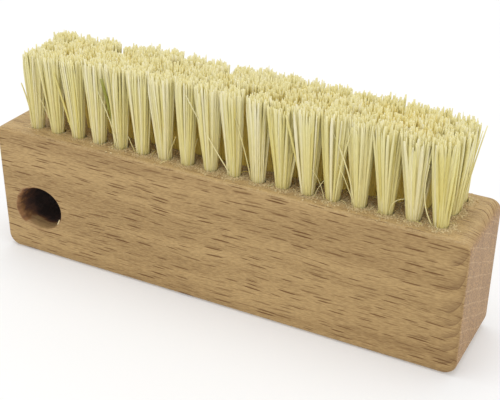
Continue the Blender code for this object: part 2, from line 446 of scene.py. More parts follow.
def long_grain(tree, place):
    """Colour and depth of the planed faces."""
    bands = noise(tree, stretched(tree, place, BAND_CELL), detail=3.0)
    threads = noise(tree, stretched(tree, place, THREAD_CELL), detail=3.0, roughness=0.6)
    ripples = noise(tree, stretched(tree, place, RIPPLE_CELL, turn=RIPPLE_TURN), detail=1.0)
    tone = math_node(tree, "ADD", remap(tree, bands, 0.3, 0.7, 0.0, BAND_TONE),
                     remap(tree, threads, 0.25, 0.75, 0.0, THREAD_TONE))
    tone = math_node(tree, "ADD", tone, remap(tree, ripples, 0.3, 0.7, 0.0, RIPPLE_TONE))
    axes = add(tree, "SeparateXYZ", {"Vector": place}).outputs
    to_right = remap(tree, axes["X"], *LOW_RIGHT_ALONG, 0.0, LOW_RIGHT_TONE)
    to_bottom = remap(tree, axes["Y"], *LOW_RIGHT_ROUND)
    low_right = math_node(tree, "MULTIPLY", to_right, to_bottom)
    tone = math_node(tree, "ADD", tone, low_right)
    colour = mix_colour(tree, tone, BEECH_LIGHT, BEECH_DARK)
    bold = flecks(tree, place, **BOLD_FLECKS)
    faint = flecks(tree, place, **FAINT_FLECKS)
    for layer, darkness in ((faint, FAINT_DARKNESS), (bold, BOLD_DARKNESS)):
        shown = math_node(tree, "MULTIPLY", layer, darkness)
        colour = mix_colour(tree, shown, colour, FLECK_BROWN)
    relief = math_node(tree, "ADD", math_node(tree, "MULTIPLY", bold, -0.8), ripples)
    return colour, relief


fleck_long, fleck_thick = (2 * BOLD_FLECKS["reach"] * side for side in BOLD_FLECKS["cell"])
print(f"bold flecks, at most {fleck_long:.1f} x {fleck_thick:.2f} mm")

# %% [markdown]
# The two ends show end grain instead, pinker, and speckled by the cut pores. A few pale rays
# cross it and fall to the back. They are narrow stripes on evenly spaced lines, and soft
# noise makes them sway: a ping-pong of the height gives the distance to the nearest line,
# and a stripe shows where that is small.
#
# The cutter that rounded the right end tore the front face beside it. It left a column of
# brown scallops, hooked like fish scales and smaller towards the bottom.

# %% Sawn ends and the torn edge
PORE_CELL = (0.50, 0.40)
PORE_LEAN = math.radians(10)
PORE_TONE = 0.85
CLOUD_CELL = (2.0, 7.0)
CLOUD_TONE = 0.2
RAY_SLANT = math.radians(-27)
RAY_PITCH = 2.5
RAY_SWAY = 0.8
RAY_SWAY_CELL = (9, 9)
RAY_PATCH_CELL = (1.2, 0.6)
RAY_HALF_WIDTH = 0.16
END_LIGHT = (0.510, 0.312, 0.145)
END_DARK = (0.245, 0.137, 0.060)
RAY_PALE = (0.640, 0.440, 0.250)
TORN_BROWN = (0.180, 0.094, 0.036)
TORN_EDGE = LENGTH / 2 - 0.15 * MM
TORN_REACH = 2.8 * MM
LOW_SCALLOP = 2.7 * MM
HIGH_SCALLOP = 4.6 * MM
SCALLOPS_CHANGE = 13 * MM
SCALLOP_CHANCE = 0.30
SCALLOP_CHANCE_CELL = (2.5, 3.0)
RIM_SHARE = 0.22
RIM_SOFTNESS = 0.06
FADE_SHARE = 0.8
FADE_DARKNESS = 0.65
EDGE_BAND_SHARE = 0.2
EDGE_BAND_DARKNESS = 0.4


def end_grain(tree):
    """Colour and depth of the sawn ends: upright speckles and pale rays that fall to the back."""
    place = add(tree, "TexCoord").outputs["Object"]
    across = add(tree, "SeparateXYZ", {"Vector": place}).outputs
    flat = add(tree, "CombineXYZ", {
        "X": math_node(tree, "MULTIPLY", across["Y"], 1 / MM),
        "Y": math_node(tree, "MULTIPLY", across["Z"], 1 / MM)}).outputs[0]
    upright = stretched(tree, flat, PORE_CELL, turn=PORE_LEAN)
    pores = noise(tree, upright, detail=3.0, roughness=0.7)
    clouds = noise(tree, stretched(tree, flat, CLOUD_CELL), detail=2.0)
    tone = math_node(tree, "ADD", remap(tree, pores, 0.36, 0.64, 0.0, PORE_TONE),
                     remap(tree, clouds, 0.3, 0.7, 0.0, CLOUD_TONE))
    colour = mix_colour(tree, tone, END_LIGHT, END_DARK)
    slant = stretched(tree, flat, (1, 1), turn=RAY_SLANT)
    waves = noise(tree, stretched(tree, slant, RAY_SWAY_CELL), detail=0.0)
    sway = math_node(tree, "MULTIPLY", waves, RAY_SWAY)
    height = add(tree, "SeparateXYZ", {"Vector": slant}).outputs["Y"]
    gap = math_node(tree, "PINGPONG", math_node(tree, "ADD", height, sway), RAY_PITCH / 2)
    patches = noise(tree, stretched(tree, slant, RAY_PATCH_CELL))
    patchy = remap(tree, patches, 0.35, 0.6, 0.1, 0.5)
    rays = math_node(tree, "MULTIPLY", remap(tree, gap, RAY_HALF_WIDTH, 0.02), patchy)
    colour = mix_colour(tree, rays, colour, RAY_PALE)
    return colour, math_node(tree, "MULTIPLY", pores, 0.8)


def torn_edge(tree):
    """Brown scallops before the right end, hooked like fish scales, and a darker band along the edge.

    With the gap g to the edge and the height h, both as shares of a scallop's own size, the
    rim of a scallop is where h + sqrt(g (2 - g)) is a whole number: a quarter of an oval.
    From its rim a scallop fades upwards.
    """
    place = add(tree, "TexCoord").outputs["Object"]
    axes = add(tree, "SeparateXYZ", {"Vector": place}).outputs
    from_edge = math_node(tree, "SUBTRACT", TORN_EDGE, axes["X"])
    reach = math_node(tree, "MULTIPLY", from_edge, 1 / TORN_REACH)
    gap = math_node(tree, "MULTIPLY", reach, 1.0, clamp=True)
    drop = math_node(tree, "SQRT", math_node(tree, "MULTIPLY", gap,
                                             math_node(tree, "SUBTRACT", 2.0, gap)))
    low = math_node(tree, "MINIMUM", axes["Z"], SCALLOPS_CHANGE)
    extra = math_node(tree, "MULTIPLY", low, 1 / LOW_SCALLOP - 1 / HIGH_SCALLOP)
    height = math_node(tree, "MULTIPLY_ADD", axes["Z"], 1 / HIGH_SCALLOP, extra)
    skin = attribute(tree, "grain", "Vector")
    wobble = noise(tree, stretched(tree, skin, SCALLOP_CHANCE_CELL))
    height = math_node(tree, "MULTIPLY_ADD", wobble, SCALLOP_CHANCE, height)
    above = math_node(tree, "FRACT", math_node(tree, "ADD", height, drop))
    rim_line = remap(tree, above, RIM_SHARE, RIM_SOFTNESS)
    shade = remap(tree, above, FADE_SHARE, 0.0, 0.0, FADE_DARKNESS)
    start = math_node(tree, "MAXIMUM", remap(tree, above, 0.0, RIM_SOFTNESS),
                      remap(tree, above, 1 - RIM_SOFTNESS, 1.0))
    scallop = math_node(tree, "MULTIPLY", math_node(tree, "MAXIMUM", rim_line, shade), start)
    scallop = math_node(tree, "MULTIPLY", scallop, remap(tree, reach, 1.4, 0.6))
    # A darker band hugs the right edge.
    edge_band = remap(tree, gap, EDGE_BAND_SHARE, 0.0, 0.0, EDGE_BAND_DARKNESS)
    both = math_node(tree, "MAXIMUM", scallop, edge_band)
    return math_node(tree, "MULTIPLY", both, attribute(tree, "front"))


print(f"rays {RAY_PITCH} mm apart, scallops {LOW_SCALLOP / MM:.1f} to {HIGH_SCALLOP / MM:.1f} mm high")

# %% [markdown]
# Dust of wood and fibre lies on top of the block, in fine grains, and a thin even layer over
# the whole top is partly painted top light. The wall of the bore was scorched by the drill,
# and it is painted from tan over brown to nearly black, unevenly: partly drill scorching and
# partly painted shade, dark on the roof and deep inside, tan on the lit floor. Scorched wood
# shines less. A painted picture could hold all this, but it would have to be laid out on the
# mesh by hand. Here the mesh stores at its points how thick the dust and painted top light
# lie and how strong the scorching and painted shade are, and the finish lays these over the
# grain one after another.

# %% Dust and painted top light, scorching and painted shade, and the whole beech finish
DUST_AND_TOP_LIGHT_YELLOW = (0.740, 0.600, 0.350)
DUST_GRAINS = (3200, 3200, 3200)
TORN_STRENGTH = 0.7
SCORCH_CELL = (1.6, 2.6)
SCORCH_UNEVEN = 0.18
# Drill scorching and painted shade in the bore, from tan to nearly black.
SCORCH_AND_SHADE_STEPS = (
    (0.00, (0.470, 0.300, 0.150)),
    (0.18, (0.260, 0.130, 0.052)),
    (0.45, (0.130, 0.066, 0.042)),
    (0.75, (0.072, 0.044, 0.036)),
    (1.00, (0.044, 0.031, 0.027)),
)
WOOD_SHINE = 0.3
SCORCHED_SHINE = 0.05
GRAIN_DEPTH = 0.10 * MM


def dusted_and_top_lit(tree, colour):
    """Wood dust and fibre dust that lie round the drilled holes, in fine grains, and a thin even layer
    over the whole top that is partly painted top light.
    """
    place = add(tree, "TexCoord").outputs["Object"]
    grains = noise_in_space(tree, place, DUST_GRAINS, detail=3.0)
    grainy = remap(tree, grains, 0.4, 0.6, 0.2, 1.0)
    # The cover holds the dust, and the painted top light over the whole top.
    cover = math_node(tree, "MULTIPLY", attribute(tree, "dust_and_top_light"), grainy)
    return mix_colour(tree, cover, colour, DUST_AND_TOP_LIGHT_YELLOW)


def beech_finish():
    """Bare planed beech, with its torn edge, its drilled top, and its bore, scorched and darkened
    inside by painted shade.
    """
    material, tree, shader = new_finish("beech")
    face_colour, face_relief = long_grain(tree, wandering_grain(tree))
    end_colour, end_relief = end_grain(tree)
    ends = attribute(tree, "end_grain")
    colour = mix_colour(tree, ends, face_colour, end_colour)
    torn = math_node(tree, "MULTIPLY", torn_edge(tree), TORN_STRENGTH)
    colour = mix_colour(tree, torn, colour, TORN_BROWN)
    colour = dusted_and_top_lit(tree, colour)
    place = attribute(tree, "bore_wall", "Vector")
    mottle = noise(tree, stretched(tree, place, SCORCH_CELL), detail=4.0)
    uneven = remap(tree, mottle, 0.3, 0.7, -SCORCH_UNEVEN, SCORCH_UNEVEN)
    # Drill scorching and painted shade, darker deeper in the bore.
    scorch_and_shade = attribute(tree, "scorch_and_shade")
    uneven = math_node(tree, "MULTIPLY", uneven, remap(tree, scorch_and_shade, 0.0, 0.35))
    scorch_and_shade = math_node(tree, "ADD", scorch_and_shade, uneven)
    burnt_and_shaded = tone_ramp(tree, scorch_and_shade, SCORCH_AND_SHADE_STEPS)
    colour = mix_colour(tree, remap(tree, scorch_and_shade, 0.0, 0.14), colour, burnt_and_shaded)
    tree.links.new(colour, shader.inputs["Base Color"])
    shine = remap(tree, scorch_and_shade, 0.0, 0.3, WOOD_SHINE, SCORCHED_SHINE)
    tree.links.new(shine, shader.inputs["Specular IOR Level"])
    relief = add(tree, "Mix", {0: ends, 2: face_relief, 3: end_relief}).outputs[0]
    bump = add(tree, "Bump", {"Height": relief, "Strength": 0.7, "Distance": GRAIN_DEPTH})
    tree.links.new(bump.outputs["Normal"], shader.inputs["Normal"])
    tree.links.new(remap(tree, relief, -0.8, 0.8, 0.75, 0.5), shader.inputs["Roughness"])
    return material


beech = beech_finish()
print("beech finish,", len(beech.node_tree.nodes), "nodes")

# %% [markdown]
# The block is sawn from a plank, its edges are eased, and then it is drilled. It could be
# made with a bevelled box and a Boolean for each hole, but then every rim would be sharp and
# the mesh around it ragged. Here the skin is laid out around the holes from the start.
#
# The front face is a grid of points in a rectangle with rounded corners. In a corner of
# radius r the square patch with sides s and t, both from 0 to 1, is bent to a quarter disc:
# x = r s sqrt(1 - t^2 / 2), z = r t sqrt(1 - s^2 / 2). The same two terms give the outward
# direction on the rim. The columns follow the tufts, so that ten of them fit each tuft.
#
# Around the face runs the arris, the narrow rounding that takes off the sharp edge. Along
# the grain it was eased well, at the two ends hardly, so it has two widths, and the corner
# of the face is a little less round than that of the block. Each corner of the block has its
# own radius, given for the bottom and then the top, left before right. The top left one is
# the smallest, and between the corners the radius changes evenly.

# %% Front face of the block
CORNER_RADII = np.array([[2.6, 2.8], [1.05, 2.2]]) * MM
LONG_ARRIS = 1.0 * MM
END_ARRIS = 0.45 * MM
CORNER_CELLS = 5
MARGIN_CELLS = 5
CELLS_PER_TUFT = 10
FACE_ROWS = 44


def corner_steps(cells):
    """For each line of points: how far it is into a corner, from -1 to 1, and its share."""
    line = np.arange(cells + 1)
    into_low = np.clip(line / CORNER_CELLS - 1, -1, 0)
    into_high = np.clip((line - cells) / CORNER_CELLS + 1, 0, 1)
    share = np.clip((line - CORNER_CELLS) / (cells - 2 * CORNER_CELLS), 0, 1)
    return into_low + into_high, share


tufts_left = first_x - PITCH / 2
tufts_right = last_x + PITCH / 2
rows = FACE_ROWS + 2 * CORNER_CELLS
columns = TUFTS_IN_ROW * CELLS_PER_TUFT + 2 * (MARGIN_CELLS + CORNER_CELLS)
s, to_right = corner_steps(columns)
t, to_top = (steps[:, None] for steps in corner_steps(rows))
low_radius, high_radius = (left * (1 - to_right) + right * to_right for left, right in CORNER_RADII)
corner = low_radius * (1 - to_top) + high_radius * to_top
centre_z = low_radius * (1 - to_top) + (HEIGHT - high_radius) * to_top

tuft_columns = np.linspace(tufts_left, tufts_right, TUFTS_IN_ROW * CELLS_PER_TUFT + 1)
left_share = np.linspace(0, 1, MARGIN_CELLS + 1)[:-1]
right_share = np.linspace(0, 1, MARGIN_CELLS + 1)[1:]
left_inner = corner[:, :1] - LENGTH / 2
right_inner = LENGTH / 2 - corner[:, -1:]
centre_x = np.hstack([
    np.repeat(left_inner, CORNER_CELLS, axis=1),
    left_inner * (1 - left_share) + tufts_left * left_share,
    np.broadcast_to(tuft_columns, (rows + 1, len(tuft_columns))),
    tufts_right * (1 - right_share) + right_inner * right_share,
    np.repeat(right_inner, CORNER_CELLS, axis=1),
])
outward_x = s * np.sqrt(1 - t ** 2 / 2)
outward_z = t * np.sqrt(1 - s ** 2 / 2)
face_x = centre_x + (corner - END_ARRIS) * outward_x
face_z = centre_z + (corner - LONG_ARRIS) * outward_z
print("front face:", columns, "by", rows, "cells")

# %% [markdown]
# The hanging bore was bored in haste: its mouth is a little oval, rises to the right, is
# scorched by the drill, and its lip is soft at the lower left and crisp at the upper right.
# The skin around it is one ring of points that runs from a rectangle cut out of the front
# face, over the lip, through the block, and out to the same rectangle in the back face. At
# the angle a round the axis, the oval's radius is the inverse of
# sqrt((cos a / half width)^2 + (sin a / half height)^2), with a measured from its long axis.
# Over the lip of radius q, at the turn p from 0 to 90 degrees, the ring has the radius
# bore + q (1 - sin p) and the depth q (1 - cos p).

# %% Hanging bore
BORE_PLACE = np.array([-40.62, 10.68]) * MM
BORE_HALF_WIDTH = 5.30 * MM
BORE_HALF_HEIGHT = 4.62 * MM
BORE_TILT = math.radians(10.6)
LIP_SOFT = 0.70 * MM
LIP_CRISP = 0.22 * MM
LIP_SOFT_SIDE = math.radians(212)
BORE_FRAME = 7.3 * MM
LIP_RINGS = 6
WALL_RINGS = 14
LAND_SHARES = (1.0, 0.75, 0.5, 0.28, 0.12)


def bore_radius(angle):
    """Radius of the oval bore at an angle round its axis."""
    turned = angle - BORE_TILT
    return 1 / np.hypot(np.cos(turned) / BORE_HALF_WIDTH, np.sin(turned) / BORE_HALF_HEIGHT)


def lip_radius(angle):
    """Rounding of the lip: largest towards the lower left, smallest opposite."""
    share = (1 + np.cos(angle - LIP_SOFT_SIDE)) / 2
    return LIP_CRISP + (LIP_SOFT - LIP_CRISP) * share


def rim_of(left, right, low, high):
    """Row and column numbers round a block of cells, anticlockwise from its lower left."""
    row = np.concatenate([np.full(right - left, low), np.arange(low, high),
                          np.full(right - left, high), np.arange(high, low, -1)])
    column = np.concatenate([np.arange(left, right), np.full(high - low, right),
                             np.arange(right, left, -1), np.full(high - low, left)])
    return row, column


def nearest(values, wanted):
    """Number of the value that lies nearest to the wanted one."""
    return int(np.argmin(np.abs(values - wanted)))


bore_box = (
    nearest(face_x[rows // 2], BORE_PLACE[0] - BORE_FRAME),
    nearest(face_x[rows // 2], BORE_PLACE[0] + BORE_FRAME),
    nearest(face_z[:, columns // 2], BORE_PLACE[1] - BORE_FRAME),
    nearest(face_z[:, columns // 2], BORE_PLACE[1] + BORE_FRAME),
)
rim_row, rim_column = rim_of(*bore_box)
rim = np.stack([face_x[rim_row, rim_column], face_z[rim_row, rim_column]], axis=1)
angle = np.arctan2(*(rim - BORE_PLACE).T[::-1])
toward = np.stack([np.cos(angle), np.sin(angle)], axis=1)


def bore_half(side):
    """Rings from the rectangle in one face to the inner end of its lip. Side is -1 in front."""
    mouth = BORE_PLACE + toward * (bore_radius(angle) + lip_radius(angle))[:, None]
    land = [(rim * share + mouth * (1 - share), np.zeros(len(rim))) for share in LAND_SHARES]
    turn = np.linspace(0, math.pi / 2, LIP_RINGS)
    lip = [
        (BORE_PLACE + toward * (bore_radius(angle) + lip_radius(angle) * (1 - math.sin(p)))[:, None],
         lip_radius(angle) * (1 - math.cos(p)))
        for p in turn
    ]
    rings = [
        np.stack([xz[:, 0], side * (DEPTH / 2 - sunk), xz[:, 1]], axis=1) for xz, sunk in land + lip
    ]
    return np.array(rings)


front_half = bore_half(-1)
back_half = bore_half(1)[::-1]
share = np.linspace(0, 1, WALL_RINGS + 2)[1:-1, None, None]
wall = front_half[-1] * (1 - share) + back_half[0] * share
bore_points = np.concatenate([front_half, wall, back_half])
bore_skin = (bore_points, grid_quads(len(bore_points), len(rim), ring=True))
print("bore skin:", len(bore_points), "rings of", len(rim), "points")

# %% [markdown]
# From the rim of the front face a band runs round the whole block: first over the arris, then
# straight through the depth, then over the arris at the back. At the turn p an arris of
# width a stands out by a sin p and is a (1 - cos p) deep. Its width goes from that of the
# ends to that of the long edges with the outward direction. On top, the band leaves out the
# cells that hold the tufts.

# %% Band round the block
ARRIS_RINGS = 6
ROW_EDGE = ROW_PITCH * len(ROWS) / 2

edge_row, edge_column = rim_of(0, columns, 0, rows)
edge = np.stack([face_x[edge_row, edge_column], face_z[edge_row, edge_column]], axis=1)
outward = np.stack([
    np.broadcast_to(outward_x, face_x.shape)[edge_row, edge_column],
    np.broadcast_to(outward_z, face_x.shape)[edge_row, edge_column],
], axis=1)
arris = outward * (END_ARRIS, LONG_ARRIS)
arris_depth = np.linalg.norm(arris, axis=1)
turn = np.linspace(0, math.pi / 2, ARRIS_RINGS)
across = np.linspace(-ROW_EDGE, ROW_EDGE, len(ROWS) * CELLS_PER_TUFT + 1)
out_share = np.concatenate([np.sin(turn), np.ones(len(across)), np.sin(turn[::-1])])
eased = DEPTH / 2 - arris_depth * (1 - np.cos(turn[:, None]))
ring_y = np.concatenate([-eased, np.repeat(across[:, None], len(edge), axis=1), eased[::-1]])
ring_xz = edge + arris * out_share[:, None, None]
band_points = np.concatenate([ring_xz[..., :1], ring_y[..., None], ring_xz[..., 1:]], axis=-1)
band_quads = grid_quads(len(out_share), len(edge), ring=True)
middle_of_quad = (band_points[:-1] + np.roll(band_points, -1, axis=1)[1:]) / 2
quad_x, quad_y, quad_z = np.moveaxis(middle_of_quad, -1, 0)
drilled = ((np.abs(quad_y) < ROW_EDGE) & (quad_x > tufts_left) & (quad_x < tufts_right)
           & (quad_z > HEIGHT - WELD_DISTANCE))
band_skin = (band_points, band_quads[~drilled])


def face_skin(y):
    """The front or back face without the rectangle round the bore."""
    points = np.stack([face_x, np.full_like(face_x, y), face_z], axis=-1)
    quads = grid_quads(*face_x.shape)
    left, right, low, high = bore_box
    keep = np.ones(quads.shape[:2], dtype=bool)
    keep[low:high, left:right] = False
    return points, quads[keep]


print("band:", len(out_share), "rings,", int(drilled.sum()), "cells left out for the tufts")

# %% [markdown]
# Each tuft's hole takes a small square out of the top. From the square's rim, rings of points
# run in to the drilled rim, over a small rounding, down the wall and to the middle of the
# floor. The whole square is worked out once, and then moved to every tuft.

# %% Drilled holes
HOLE_RADIUS = 1.38 * MM
HOLE_LIP = 0.06 * MM
HOLE_LIP_RINGS = 4
HOLE_LAND_SHARES = (1.0, 0.6, 0.25)
HOLE_WALL_SHARES = (0.08, 0.3, 0.6, 1.0)
HOLE_FLOOR_SHARES = (0.5, 0.001)

steps = np.arange(CELLS_PER_TUFT) / CELLS_PER_TUFT - 0.5
square = np.concatenate([
    np.stack([steps, np.full(CELLS_PER_TUFT, -0.5)], axis=1),
    np.stack([np.full(CELLS_PER_TUFT, 0.5), steps], axis=1),
    np.stack([-steps, np.full(CELLS_PER_TUFT, 0.5)], axis=1),
    np.stack([np.full(CELLS_PER_TUFT, -0.5), -steps], axis=1),
]) * (PITCH, ROW_PITCH)
circle = square / np.linalg.norm(square, axis=1, keepdims=True)
hole_depth = HEIGHT - hole_floor


def hole_rings():
    """Rings of one hole about its own axis, from the square's rim to the floor's middle."""
    mouth = circle * (HOLE_RADIUS + HOLE_LIP)
    land = [(square * share + mouth * (1 - share), 0.0) for share in HOLE_LAND_SHARES]
    lip = [(circle * (HOLE_RADIUS + HOLE_LIP * (1 - math.sin(p))), HOLE_LIP * (1 - math.cos(p)))
           for p in np.linspace(0, math.pi / 2, HOLE_LIP_RINGS)]
    hole = [(circle * HOLE_RADIUS, hole_depth * share) for share in HOLE_WALL_SHARES]
    floor = [(circle * HOLE_RADIUS * share, hole_depth) for share in HOLE_FLOOR_SHARES]
    return np.array([
        np.column_stack([xy, np.full(len(xy), HEIGHT - sunk)])
        for xy, sunk in land + lip + hole + floor
    ])


rings = hole_rings()
hole_quads = grid_quads(len(rings), len(square), ring=True)
row_places = (np.arange(len(ROWS)) - (len(ROWS) - 1) / 2) * ROW_PITCH
holes = [
    (rings + np.array([first_x + number * PITCH, y, 0]), hole_quads)
    for y in row_places for number in range(TUFTS_IN_ROW)
]
print(len(holes), "holes,", round(hole_depth / MM, 1), "mm deep")

# %% [markdown]
# The finish reads some things that the mesh stores at its points. The unrolled place was
# explained with the beech. End grain follows the way that the skin faces, and so does the
# front, which alone has the torn scallops. Dust lies round the feet of the tufts, more
# towards the right, and a thin even layer over the whole top is partly painted top light.
#
# The darkening in the bore, drill scorching and painted shade together, grows with the depth
# inside it. On the roof it is full after three millimetres, on the left only after eight, and
# the lit floor stays tan for three and then turns dark at once. Soot lies over the lower left
# of the lip.
#
# The left end was sawn a little out of square: its bottom lies further in than its top. Only
# the wood between the bore and that end is moved for it.

# %% Skin of the block
LEFT_END_SLANT = 0.6 * MM
DUST_FROM = 2.9 * MM
DUST_TO = 1.9 * MM
# A thin even layer of dust over the whole top, which also paints the top face lighter: partly painted
# top light.
DUST_AND_TOP_LIGHT_EVERYWHERE = 0.25
DUST_SHARE_AT_LEFT = 0.25
BORE_FLOOR = math.radians(-82)
BORE_LEFT = math.radians(165)
SCORCH_AND_SHADE_START = {"roof": 0.2, "floor": 3.2}
SCORCH_AND_SHADE_FULL = {"roof": 3.0, "left": 8.5, "floor": 4.6}
SCORCH_AND_SHADE_AT_MOUTH = {"roof": 0.34, "floor": 0.06}
SOOT_ON_LIP = 0.05 * MM
SOOT_AT_LOW_LEFT = 0.5 * MM
SOOT_FADES_OVER = 0.3 * MM


def unrolled(points):
    """Along the grain, and round the section from the bottom front edge over the top."""
    x, y, z = points.T
    front = z + y + DEPTH / 2
    back = 2 * HEIGHT + DEPTH / 2 + y - z
    return np.stack([x, np.where(y < 0, front, back), np.zeros_like(x)], axis=1) / MM


def dust_and_top_light_share(points):
    """How thick the dust lies: it fades with the distance from the nearest tuft's foot, and a thin
    even layer over the whole top is partly painted top light.
    """
    along = (points[:, 0] - first_x) / PITCH
    aside = np.abs(along - np.clip(np.round(along), 0, TUFTS_IN_ROW - 1)) * PITCH
    rows_away = points[:, 1] / ROW_PITCH
    behind = np.abs(rows_away - np.clip(np.round(rows_away), -1, 1)) * ROW_PITCH
    near = smooth_step(np.hypot(aside, behind), DUST_FROM, DUST_TO)
    to_right = smooth_step(points[:, 0], first_x, 0)
    to_right = DUST_SHARE_AT_LEFT + (1 - DUST_SHARE_AT_LEFT) * to_right
    on_top = smooth_step(points[:, 2], HEIGHT - 0.8 * LONG_ARRIS, HEIGHT - 0.02 * LONG_ARRIS)
    return (DUST_AND_TOP_LIGHT_EVERYWHERE + (1 - DUST_AND_TOP_LIGHT_EVERYWHERE) * near * to_right) * on_top


def bore_scorch_and_shade(points):
    """How dark scorching and painted shade make the wood, and the place on the wall in millimetres.

    Depths are in millimetres from the nearer face. Floor and left say how much a point
    belongs to the floor or to the left wall of the bore, from 0 to 1, and what belongs to
    neither is roof.
    """
    x, y, z = points.T
    offset = np.stack([x, z], axis=1) - BORE_PLACE
    around = np.arctan2(offset[:, 1], offset[:, 0])
    reach = np.linalg.norm(offset, axis=1)
    mouth = bore_radius(around) + lip_radius(around)
    depth = (DEPTH / 2 - np.abs(y)) / MM
    floor = smooth_step(np.cos(around - BORE_FLOOR), 0.25, 0.75)
    left = smooth_step(np.cos(around - BORE_LEFT), 0.2, 0.9) * (1 - floor)
    start = SCORCH_AND_SHADE_START["roof"] + (SCORCH_AND_SHADE_START["floor"] - SCORCH_AND_SHADE_START["roof"]) * floor
    full = (SCORCH_AND_SHADE_FULL["roof"] + (SCORCH_AND_SHADE_FULL["left"] - SCORCH_AND_SHADE_FULL["roof"]) * left
            + (SCORCH_AND_SHADE_FULL["floor"] - SCORCH_AND_SHADE_FULL["roof"]) * floor)
    at_mouth = (SCORCH_AND_SHADE_AT_MOUTH["roof"]
                + (SCORCH_AND_SHADE_AT_MOUTH["floor"] - SCORCH_AND_SHADE_AT_MOUTH["roof"]) * floor)
    # Painted shade with drill scorching: darker with depth, and latest on the lit floor.
    darkness = at_mouth + (1 - at_mouth) * smooth_step(depth, start, full)
    low_left = np.clip(np.cos(around - LIP_SOFT_SIDE), 0, 1)
    soot_end = mouth + SOOT_ON_LIP + SOOT_AT_LOW_LEFT * low_left
    inside = reach < soot_end + WELD_DISTANCE
    at_lip = smooth_step(reach, soot_end, mouth - SOOT_FADES_OVER)
    wall_place = np.stack([around * BORE_HALF_WIDTH, np.abs(y), np.zeros_like(y)], axis=1) / MM
    return np.where(inside, darkness * at_lip, 0), wall_place


def make_block():
    """Joins the block's skins, welds them and stores what the finish reads."""
    skins = [face_skin(-DEPTH / 2), face_skin(DEPTH / 2), band_skin, bore_skin, *holes]
    mesh = mesh_of("beech_block", *join(skins), weld=True)
    points = np.empty(3 * len(mesh.vertices))
    normals = np.empty(3 * len(mesh.vertices))
    mesh.vertices.foreach_get("co", points)
    mesh.vertices.foreach_get("normal", normals)
    points = points.reshape(-1, 3)
    normals = normals.reshape(-1, 3)
    near_end = smooth_step(-points[:, 0], BORE_HALF_WIDTH - BORE_PLACE[0], LENGTH / 2)
    points[:, 0] += LEFT_END_SLANT * near_end * (1 - points[:, 2] / HEIGHT)
    mesh.vertices.foreach_set("co", points.ravel())
    in_hole = np.abs(points[:, 0]) < LENGTH / 2 - CORNER_RADII.max()
    scorch_and_shade, wall_place = bore_scorch_and_shade(points)
    store(mesh, "grain", unrolled(points), "FLOAT_VECTOR")
    store(mesh, "end_grain", np.where(in_hole, 0, smooth_step(np.abs(normals[:, 0]), 0.75, 0.99)))
    store(mesh, "front", smooth_step(-normals[:, 1], 0.6, 0.9))
    store(mesh, "dust_and_top_light", dust_and_top_light_share(points))
    store(mesh, "scorch_and_shade", scorch_and_shade)
    store(mesh, "bore_wall", wall_place, "FLOAT_VECTOR")
    return place_piece("beech_block", mesh, beech)


block = make_block()
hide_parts("block")
print("block:", len(block.data.vertices), "points,", len(block.data.polygons), "faces")

# %% [markdown]
# A tuft is a bundle of stiff plant fibre, bent double and pressed into its hole, so that its
# ends stand up and spread like the stems of a sheaf: 140 of them here. No two fibres have the
# same colour. Most are pale cream, some are yellower, a few nearly white and one is green.
# All are painted a little darker towards the root, a painted shade low in the bundle, and
# creamier at the tip, partly as paler cut ends and partly as painted light on the top of the
# brush. Each fibre carries one random number, its tint, and its finish looks the colour up
# in a row of tones.
#
# The light that reaches the fibres deep inside the brush has come through other fibres, so
# they look more yellow than the outer ones. A finish that lets light through would show
# that by itself, but in so dense a bundle it would need very many bounces. Here the finish
# turns fibres yellow by their place: away from the ends and the long sides of the brush, and
# below their tips.

# %% Plant fibre
FIBRE_TONES = (
    (0.00, (0.310, 0.310, 0.060)),
    (0.08, (0.700, 0.597, 0.188)),
    (0.30, (0.755, 0.673, 0.262)),
    (0.60, (0.800, 0.736, 0.352)),
    (0.85, (0.820, 0.760, 0.428)),
    (1.00, (0.860, 0.808, 0.545)),
)
PAINTED_ROOT_SHADE = (0.96, 0.92, 0.79)
TIP_CREAM_AND_LIGHT = (0.920, 0.855, 0.580)
PAINTED_FILTERED_LIGHT = (0.985, 0.800, 0.215)
OUTER_FIBRES = {"end": last_x - 0.4 * PITCH, "side": 5.2 * MM, "along": 0.94}
INNER_FIBRES = {"end": last_x - PITCH, "side": 3.8 * MM, "along": 0.70}
CREAM_AND_LIGHT_SHARE = 0.4
FIBRE_STREAKS = (9000, 9000, 450)
STREAK_DEPTH = 0.03 * MM


